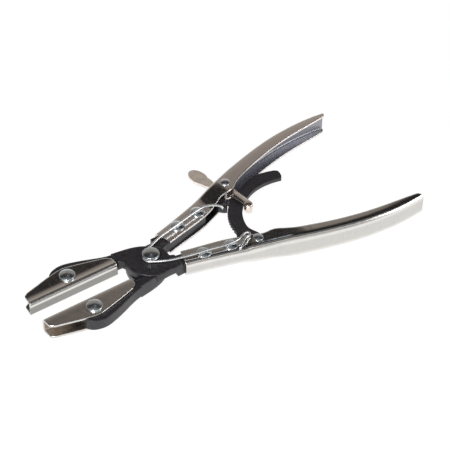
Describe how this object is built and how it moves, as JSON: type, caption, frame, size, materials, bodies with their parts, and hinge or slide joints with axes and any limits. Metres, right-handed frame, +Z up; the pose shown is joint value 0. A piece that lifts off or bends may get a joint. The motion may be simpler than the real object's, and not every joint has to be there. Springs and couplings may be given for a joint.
{
  "type": "hose pinch-off pliers",
  "caption": "Ratchet-locking pinch-off pliers: two crossing levers, swivelling channel jaws that stay parallel, sprung channel handles, a curved toothed bar and a thumb release.",
  "frame": {"origin": "centre of the footprint, on the surface the tool lies on", "axes": "+X from the jaws towards the handle ends, +Y towards the handle with the release lever, +Z up, along the main pivot, towards the spring"},
  "size_m": [0.251, 0.111, 0.0172],
  "materials": {
    "black_steel": "satin black",
    "chrome": "bright plated sheet",
    "zinc_plated": "bright zinc",
    "spring_wire": "bright zinc wire",
    "nickel": "warm nickel"
  },
  "bodies": {
    "fixed_half": {"bottom_lever": "black_steel", "pivot_rivet": "zinc_plated", "left_jaw_rivet": "zinc_plated", "right_handle": "chrome", "right_handle_front_rivet": "zinc_plated", "right_handle_rear_rivet": "zinc_plated", "release_rivet": "zinc_plated", "release_washer_upper": "zinc_plated", "release_washer_lower": "zinc_plated", "pawl": "black_steel", "pawl_pin": "zinc_plated", "torsion_spring": "spring_wire"},
    "moving_half": {"top_lever": "black_steel", "right_jaw_rivet": "zinc_plated", "left_handle": "chrome", "left_handle_front_rivet": "zinc_plated", "left_handle_rear_rivet": "zinc_plated", "ratchet_rivet": "zinc_plated", "ratchet_washer_upper": "zinc_plated", "ratchet_washer_lower": "zinc_plated"},
    "left_jaw_shoe": {"left_jaw": "chrome"},
    "right_jaw_shoe": {"right_jaw": "chrome"},
    "bar": {"ratchet_bar": "black_steel"},
    "release": {"release_lever": "nickel", "release_pin": "nickel"}
  },
  "joints": [
    {"name": "main_pivot", "type": "hinge", "parent": "fixed_half", "child": "moving_half", "pos_m": [-0.04605, -0.00227, 0.0072], "axis": [0, 0, 1], "range_deg": [-14, 15.7], "stiffness_Nm_per_rad": 0.15, "springref_deg": -14, "deforming": ["torsion_spring"]},
    {"name": "left_jaw_swivel", "type": "hinge", "parent": "fixed_half", "child": "left_jaw_shoe", "pos_m": [-0.09535, -0.01767, 0.0072], "axis": [0, 0, 1], "range_deg": [-8, 8]},
    {"name": "right_jaw_swivel", "type": "hinge", "parent": "moving_half", "child": "right_jaw_shoe", "pos_m": [-0.09535, 0.01313, 0.0072], "axis": [0, 0, 1], "range_deg": [-8, 8]},
    {"name": "bar_hinge", "type": "hinge", "parent": "moving_half", "child": "bar", "pos_m": [0.01725, -0.02527, 0.0072], "axis": [0, 0, 1], "range_deg": [-31, 28]},
    {"name": "release_hinge", "type": "hinge", "parent": "fixed_half", "child": "release", "pos_m": [0.02975, 0.02733, 0.0072], "axis": [0, 0, 1], "range_deg": [0, 10], "stiffness_Nm_per_rad": 0.02, "springref_deg": -5.73}
  ],
  "couplings": [
    {"joint": "left_jaw_swivel", "follows": "main_pivot", "ratio": 0.5},
    {"joint": "right_jaw_swivel", "follows": "main_pivot", "ratio": -0.5},
    {"joint": "bar_hinge", "follows": "main_pivot", "ratio": -1.85}
  ]
}
